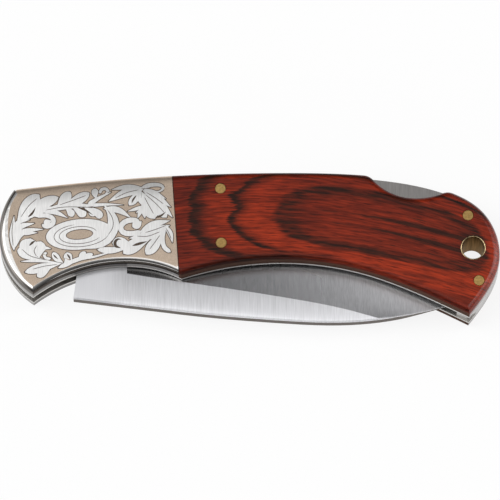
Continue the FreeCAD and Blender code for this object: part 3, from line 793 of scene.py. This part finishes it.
def drawn_tube_brass():
    """Bright yellow on the rounded lips, and a bore in painted shade, brown with long marks along it."""
    material, tree, shader = new_material("drawn_brass_tube")
    place, facing = surface(tree)
    # Real die marks are finer, and would not show.
    mark_size = 0.35 * MM, 0.35 * MM, 8.0 * MM
    drawn = add(tree, "VectorMath", (place, mark_size), operation="DIVIDE")
    marks = add(tree, "TexNoise", {"Vector": drawn, "Scale": 1.0, "Detail": 2.0})
    up = add(tree, "Math", (facing["Z"],), operation="ABSOLUTE")
    # Painted shade: the bore is a dark brown.
    bore = add(tree, "MapRange", (up, 0.5, 0.15))
    brass = add(tree, "Mix", (bore, linear("#D9BE93"), linear("#765A40")), data_type="RGBA")
    shade = add(tree, "MapRange", (marks, 0.35, 0.65, 0.35, 1.0))
    tint = add(tree, "VectorMath", (brass, shade), operation="SCALE")
    lip_rough, bore_rough = 0.22, 0.4
    rough = add(tree, "Mix", (bore, lip_rough, bore_rough))
    bump = add(tree, "Bump", {"Height": marks, "Strength": 0.4, "Distance": line_depth})
    feed(tree, shader, {"Metallic": 1.0, "Base Color": tint, "Specular Tint": linear("#DCCDB8")})
    feed(tree, shader, {"Roughness": rough, "Normal": bump})
    return material


tube = new_piece("rounded_lanyard_tube", places, faces)
tube.data.shade_smooth()
tube.data.materials.append(drawn_tube_brass())
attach(tube, "handle")
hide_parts("lanyard_tube")

# Butt spacer: a steel block between the liners, held by the tube and pins that pass through the butt.
# Its end is belt-ground flush with the liners, plain grey with fine lines.
spacer_steel = brushed_metal("ground_spacer_steel", "#B4B2B0", 0.3, "x", 0.25, 5.0)
dress(spacer_steel, "butt_spacer")

# Lock spring: a strip of spring steel, a bluish grey from its heat treatment, held by the spacer and
# curved up under the rear arm of the lock bar.
spring_low, spring_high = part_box("lock_spring")
strip = 0.8 * MM
flat_run = 4.0 * MM
tip_overhang = 0.19 * MM
spring_steps = 40
level = spring_low.y + strip / 2
bend_start = spring_high.x - flat_run
run = bend_start - spring_low.x - tip_overhang
rise = spring_high.y - spring_low.y - strip
bend_radius = (run ** 2 + rise ** 2) / (2 * rise)
sweep = math.asin(run / bend_radius)
middle = [(Vector((spring_high.x, level)), Vector((0.0, 1.0)))]
for step in range(spring_steps + 1):
    angle = sweep * step / spring_steps
    out = Vector((math.sin(angle), math.cos(angle)))
    middle.append((Vector((bend_start, level + bend_radius)) - bend_radius * out, out))
places = []
for point, out in middle:
    for side, height in ((-1, spring_low.z), (1, spring_low.z), (1, spring_high.z), (-1, spring_high.z)):
        spot = point + out * side * strip / 2
        places.append((spot.x, spot.y, height))
faces = [(3, 2, 1, 0), tuple(len(places) - 4 + corner for corner in range(4))]
for ring_start in range(0, len(places) - 4, 4):
    for corner in range(4):
        after = (corner + 1) % 4
        near, far = ring_start + corner, ring_start + after
        faces.append((near, far, far + 4, near + 4))
spring = new_piece("bent_lock_spring", places, faces)
spring.data.materials.append(brushed_metal("blued_spring_steel", "#7C7F88", 0.32, "x", 0.25, 5.0))
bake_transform(spring)
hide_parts("lock_spring")

# Lock bar: a steel bar that rocks on its pin along the back, with a tooth for the tang's notch.
# Its sides are surface-ground, which leaves grey lines across them.
lock_steel = brushed_metal(
    "cross_ground_lock_steel", "#93908E", 0.34, "y", 0.25, 4.0, depth=0.4, tone=0.25,
)
dress(lock_steel, "lock_bar")

# Blade: stainless steel, ground hollow towards its edge, with flats that keep a satin finish of
# fine lines across the blade. It sits on the pivot pin, folded into the slot with its spine outwards.
blade_low, blade_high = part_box("blade")
ricasso_end = -32.0 * MM
ricasso_fade = 5.0 * MM
# The spine's straight run: the height of its line at the middle of the knife, and its slope.
spine_level = -15.14 * MM
spine_slope = -0.104
# It bends up to the tip as a parabola: where that starts, and its rise for the square of the run.
spine_bend_start = 11.95 * MM
spine_bend = 0.00679 / MM
spine_corner = 0.6 * MM
flat_rough, corner_rough, spine_rough = 0.34, 0.55, 0.45
corner_painted_highlight, ricasso_light = 1.42, 0.97


def satin_blade():
    """Flats smooth at the ricasso and finely lined beyond it, with painted light on the flats and the
    grind, a painted highlight on the spine's corner and painted shade on the spine.
    """
    material, tree, shader = new_material("satin_stainless_steel")
    place, facing = surface(tree)
    axes = add(tree, "SeparateXYZ", (place,)).node.outputs
    length = axes["X"]
    lined = add(tree, "MapRange", (length, ricasso_end, ricasso_end + ricasso_fade, 0.25, 1.0))
    # Fine lines and broader ones, in millimetres. Real ones are finer, and would not show.
    lines, tone = [], 1.0
    for across_mm, along_mm, darkest in ((0.2, 5.0, 0.84), (0.9, 9.0, 0.96)):
        stretch = (1 / (across_mm * MM), 1 / (along_mm * MM), 1 / (across_mm * MM))
        drawn = add(tree, "VectorMath", (place, stretch), operation="MULTIPLY")
        lines.append(add(tree, "TexNoise", {"Vector": drawn, "Scale": 1.0, "Detail": 2.0}))
        tone = faded(tree, tone, (lines[-1], *noise_span, darkest, 1.03))
    sloped = add(tree, "Math", (length, -spine_slope, axes["Y"]), operation="MULTIPLY_ADD")
    past_start = add(tree, "Math", (length, spine_bend_start), operation="SUBTRACT")
    bent = add(tree, "Math", (past_start, 0.0), operation="MAXIMUM")
    bent_squared = add(tree, "Math", (bent, 2.0), operation="POWER")
    level = add(tree, "Math", (bent_squared, -spine_bend, sloped), operation="MULTIPLY_ADD")
    from_spine = add(tree, "Math", (level, spine_level), operation="SUBTRACT")
    # Painted light on the flats, brightest at the spine, in shares of light at millimetres from it.
    brightest, deepest = 1.4, 7.0
    spine_share = add(tree, "Math", (from_spine, deepest * MM), operation="DIVIDE")
    spine_painted_light = add(tree, "ValToRGB", (spine_share,))
    spine_light_stops = [
        (0.0, 1.4), (0.5, 1.22), (1.0, 1.12), (2.0, 1.03), (4.0, 0.93), (5.5, 0.84), (7.0, 0.78),
    ]
    fill_ramp(spine_painted_light, [(at, light / brightest) for at, light in spine_light_stops], 0.0, deepest)
    # Painted light along the flats: dimmer at the middle, brighter towards the tip.
    flat_painted_light = faded(tree, spine_painted_light, (length, -8 * MM, 18 * MM, 0.89 * brightest, 1.07 * brightest))
    up = add(tree, "Math", (facing["Z"],), operation="ABSOLUTE")
    flat = add(tree, "MapRange", (up, 0.995, 0.999))
    # Painted light along the grind: darker at the plunge, brighter towards the tip.
    grind_painted_light = add(tree, "MapRange", (length, 0.0, 30 * MM, 0.86, 1.2))
    side_painted_light = add(tree, "Mix", (flat, grind_painted_light, flat_painted_light))
    # The corner at the spine is blended with a belt, which leaves it rougher, and a painted highlight
    # makes it a pale line.
    level_enough = add(tree, "MapRange", (up, 0.4, 0.7))
    off_flat = add(tree, "Mix", (flat, level_enough, 0.0))
    blended_and_highlit = faded(tree, off_flat, (from_spine, spine_corner, spine_corner / 3))
    painted_light = add(tree, "Mix", (blended_and_highlit, side_painted_light, corner_painted_highlight))
    full_shade = add(tree, "Math", (tone, painted_light), operation="MULTIPLY")
    shade = add(tree, "Mix", (lined, ricasso_light, full_shade))
    satin_and_painted_light = add(tree, "VectorMath", (linear("#DADADD")[:3], shade), operation="SCALE")
    # Painted shade: the spine's colour is a dark grey brown.
    spine = add(tree, "MapRange", (facing["Y"], -0.85, -0.95))
    tint = add(tree, "Mix", (spine, satin_and_painted_light, linear("#5A5149")), data_type="RGBA")
    grind_rough = add(tree, "MapRange", (length, blade_low.x, blade_high.x, 0.16, 0.32))
    side_rough = add(tree, "Mix", (flat, grind_rough, flat_rough))
    blended_rough = add(tree, "Mix", (blended_and_highlit, side_rough, corner_rough))
    rough = add(tree, "Mix", (spine, blended_rough, spine_rough))
    bump = add(tree, "Bump", {"Height": lines[0], "Strength": 0.25, "Distance": line_depth})
    feed(tree, shader, {"Metallic": 1.0, "Base Color": tint, "Roughness": rough, "Normal": bump})
    return material


dress(satin_blade(), "blade")

# Studio: a broad white floor, and a tent of soft light that is brightest overhead and at the two
# sides and falls off towards the front and the back, as round a product table.
floor_half = 3.0
floor_level = rear_face - leaf_height
floor_ends = ((-1, -1), (1, -1), (1, 1), (-1, 1))
floor_corners = [(x * floor_half, y * floor_half, floor_level) for x, y in floor_ends]
floor = new_piece("floor", floor_corners, [(0, 1, 2, 3)])
floor_paper, tree, shader = new_material("white_paper")
feed(tree, shader, {"Base Color": linear("#FCFCFC"), "Roughness": 0.9})
# Seen directly or reflected, the paper is mostly lit from below, which keeps it white.
backlit_share = 0.85
rays = add(tree, "LightPath").node.outputs
seen = add(tree, "Math", (rays["Is Camera Ray"], rays["Is Glossy Ray"]), operation="ADD")
seen = add(tree, "Math", (seen, rays["Is Transmission Ray"]), operation="ADD", use_clamp=True)
share = add(tree, "Math", (seen, backlit_share), operation="MULTIPLY")
glow = add(tree, "Emission", {"Color": (1.0, 1.0, 1.0, 1.0), "Strength": 1.0})
paper = add(tree, "MixShader", (share, shader.outputs[0], glow))
feed(tree, tree.nodes["Material Output"], {"Surface": paper})
floor.data.materials.append(floor_paper)

world = bpy.data.worlds.new("light_tent")
bpy.context.scene.world = world
world.use_nodes = True
tree = world.node_tree
# In a world, Generated is the way that is looked along.
heading = add(tree, "TexCoord").node.outputs["Generated"]
way = add(tree, "SeparateXYZ", (heading,)).node.outputs
room_light = 0.1
tent_gain, side_gain = 1.06, 2.76
# The tent's light from the front at -1 to the back at 1.
brightest = 1.25
front_to_back = [
    (-1.0, 0.0), (-0.5, 0.02), (-0.28, 0.3), (-0.08, 1.2), (0.12, 1.25),
    (0.30, 0.95), (0.37, 0.45), (0.43, 0.13), (0.52, 0.05), (1.0, 0.03),
]
depth_share = add(tree, "MapRange", (way["Y"], -1.0, 1.0))
tent = add(tree, "ValToRGB", (depth_share,))
fill_ramp(tent, [(at, light / brightest) for at, light in front_to_back], -1.0, 1.0)
sideways = add(tree, "Math", (way["X"],), operation="ABSOLUTE")
# The tent hangs open at the front right, which leaves the arch dark near the toe.
opening = faded(tree, 1.0, (way["X"], 0.06, 0.2), (way["Y"], 0.14, 0.02))
hung = faded(
    tree, 1.0, (sideways, 0.2, 0.5, tent_gain, side_gain), (way["Z"], 0.26, 0.48, 0.0, brightest),
    (opening, 0.0, 1.0, 1.0, 0.2),
)
soft = add(tree, "Math", (tent, hung, room_light), operation="MULTIPLY_ADD")
# Lamps as boxes of directions, with how softly they end and their strength: one in front for the
# belly arch, and low ones in front for the blade's spine, at the right for the butt and at the left
# for the nose.
lamps = (
    ((-1.2, 0.1), (-0.5, -0.1), (0.3, 1.2), 0.12, 0.75),
    ((-1.2, 1.2), (-1.2, -0.75), (0.2, 0.42), 0.06, 1.9),
    ((0.7, 1.2), (-1.2, 1.2), (-0.05, 0.45), 0.2, 1.6),
    ((-1.2, -0.7), (-1.2, 1.2), (-0.05, 0.45), 0.2, 2.0),
)
for *spans, softness, strength in lamps:
    lamp = strength
    for axis, (low, high) in zip("XYZ", spans):
        lamp = faded(tree, lamp, (way[axis], low, low + softness), (way[axis], high, high - softness))
    soft = add(tree, "Math", (lamp, soft), operation="ADD")
feed(tree, tree.nodes["Background"], {"Color": (1.0, 1.0, 1.0, 1.0), "Strength": soft})

# Camera: a long lens above the knife, tipped towards the belly, as in the photograph. It has the
# nose at the left and the whole knife in its frame.
camera_data = bpy.data.cameras.new("camera")
camera_data.lens = 400.0
camera_data.sensor_width = 36.0
camera = bpy.data.objects.new("camera", camera_data)
bpy.context.scene.collection.objects.link(camera)
bpy.context.scene.camera = camera
aim = Vector((0.169, 0.27, 5.2)) * MM
elevation = math.radians(72.5)
distance = 1.2222
camera.location = aim + Vector((0.0, -math.cos(elevation), math.sin(elevation))) * distance
camera.rotation_mode = "QUATERNION"
camera.rotation_quaternion = (aim - camera.location).to_track_quat("-Z", "Y")
camera_data.clip_start = 0.05
camera_data.clip_end = 20.0
bpy.context.scene.view_settings.view_transform = "Standard"
